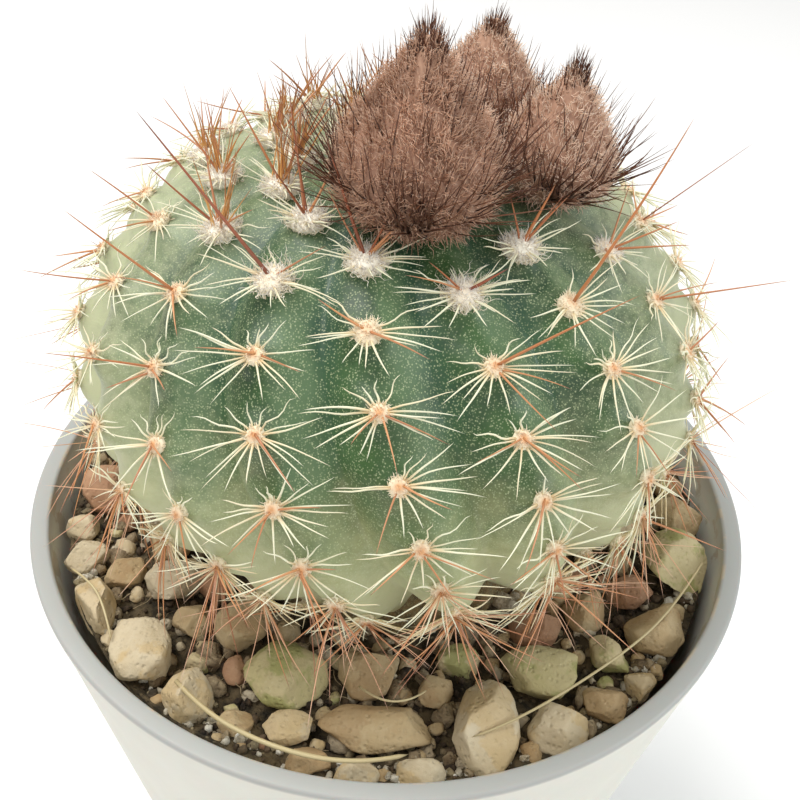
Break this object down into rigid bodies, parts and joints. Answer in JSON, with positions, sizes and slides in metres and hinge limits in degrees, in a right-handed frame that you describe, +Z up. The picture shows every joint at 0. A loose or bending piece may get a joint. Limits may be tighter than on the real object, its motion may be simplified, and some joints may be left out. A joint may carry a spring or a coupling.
{
  "type": "potted round cactus",
  "caption": "Round ribbed cactus with woolly flower buds and orange-brown spines, in a small plastic pot of soil and gravel.",
  "frame": {"origin": "middle of the pot's foot, on the surface that it stands on", "axes": "+Z up along the pot's axis; -Y is the front of the plant"},
  "size_m": [0.0548, 0.0548, 0.0879],
  "materials": {
    "pot_plastic": "pale grey-white satin plastic",
    "potting_soil": "dark crumbly soil with fine roots",
    "cactus_skin": "deep green skin with fine pale flecks, paler at the foot",
    "bud_wool": "dusty pink-brown wool with dark bristles",
    "pebble_cream": "matt worn limestone",
    "pebble_tan": "matt worn sandstone",
    "pebble_moss": "stone with a film of moss",
    "pebble_red": "matt red-brown stone"
  },
  "bodies": {
    "root": {"pot": "pot_plastic", "soil": "potting_soil", "cactus_stem": "cactus_skin", "flower_bud_front": "bud_wool", "flower_bud_right": "bud_wool", "flower_bud_back": "bud_wool", "pebble_01": "pebble_cream", "pebble_02": "pebble_cream", "pebble_03": "pebble_tan", "pebble_04": "pebble_tan", "pebble_05": "pebble_moss", "pebble_06": "pebble_moss", "pebble_07": "pebble_moss", "pebble_08": "pebble_red", "pebble_09": "pebble_tan", "pebble_10": "pebble_tan", "pebble_11": "pebble_moss", "pebble_12": "pebble_tan", "pebble_13": "pebble_cream", "pebble_14": "pebble_cream", "pebble_15": "pebble_cream", "pebble_16": "pebble_cream", "pebble_17": "pebble_cream", "pebble_18": "pebble_cream", "pebble_19": "pebble_tan", "pebble_20": "pebble_red", "pebble_21": "pebble_cream", "pebble_22": "pebble_cream", "pebble_23": "pebble_tan", "pebble_24": "pebble_tan", "pebble_25": "pebble_tan", "pebble_26": "pebble_cream", "pebble_27": "pebble_tan", "pebble_28": "pebble_red", "pebble_29": "pebble_cream", "pebble_30": "pebble_tan", "pebble_31": "pebble_moss", "pebble_32": "pebble_cream", "pebble_33": "pebble_cream", "pebble_34": "pebble_tan", "pebble_35": "pebble_red", "pebble_36": "pebble_cream", "pebble_37": "pebble_moss", "pebble_38": "pebble_tan", "pebble_39": "pebble_cream", "pebble_40": "pebble_cream", "pebble_41": "pebble_tan", "pebble_42": "pebble_tan", "pebble_43": "pebble_moss", "pebble_44": "pebble_cream", "pebble_45": "pebble_cream", "pebble_46": "pebble_moss", "pebble_47": "pebble_cream", "pebble_48": "pebble_red", "pebble_49": "pebble_tan", "pebble_50": "pebble_cream", "pebble_51": "pebble_tan", "pebble_52": "pebble_tan", "pebble_53": "pebble_tan", "pebble_54": "pebble_cream"}
  },
  "joints": []
}
